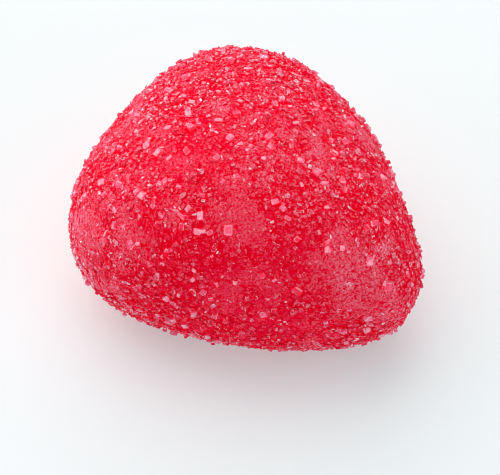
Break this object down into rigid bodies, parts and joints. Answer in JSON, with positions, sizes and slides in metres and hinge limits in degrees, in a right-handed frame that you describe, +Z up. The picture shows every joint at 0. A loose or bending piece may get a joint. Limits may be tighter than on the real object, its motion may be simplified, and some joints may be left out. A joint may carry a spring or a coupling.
{
  "type": "sugar-coated strawberry-shaped sweet",
  "caption": "Rounded-triangular domed sweet coated all over in pink-red sugar crystals, lying on a flat belly with its tip pointing away.",
  "frame": {"origin": "middle of the base of the bounding box, on the flat underside that the sweet lies on", "axes": "+Z up from the underside to the crown, +Y towards the strawberry's narrow tip, -Y towards the broad shoulder end, X across the shoulders"},
  "size_m": [0.0354, 0.034, 0.0224],
  "materials": {
    "sugared_body": "soft sweet of strawberry pink-red, coated all over in half-millimetre sugar crystals; matte_plastic stands for the confectionery"
  },
  "bodies": {
    "root": {"sweet_body": "sugared_body"}
  },
  "joints": []
}
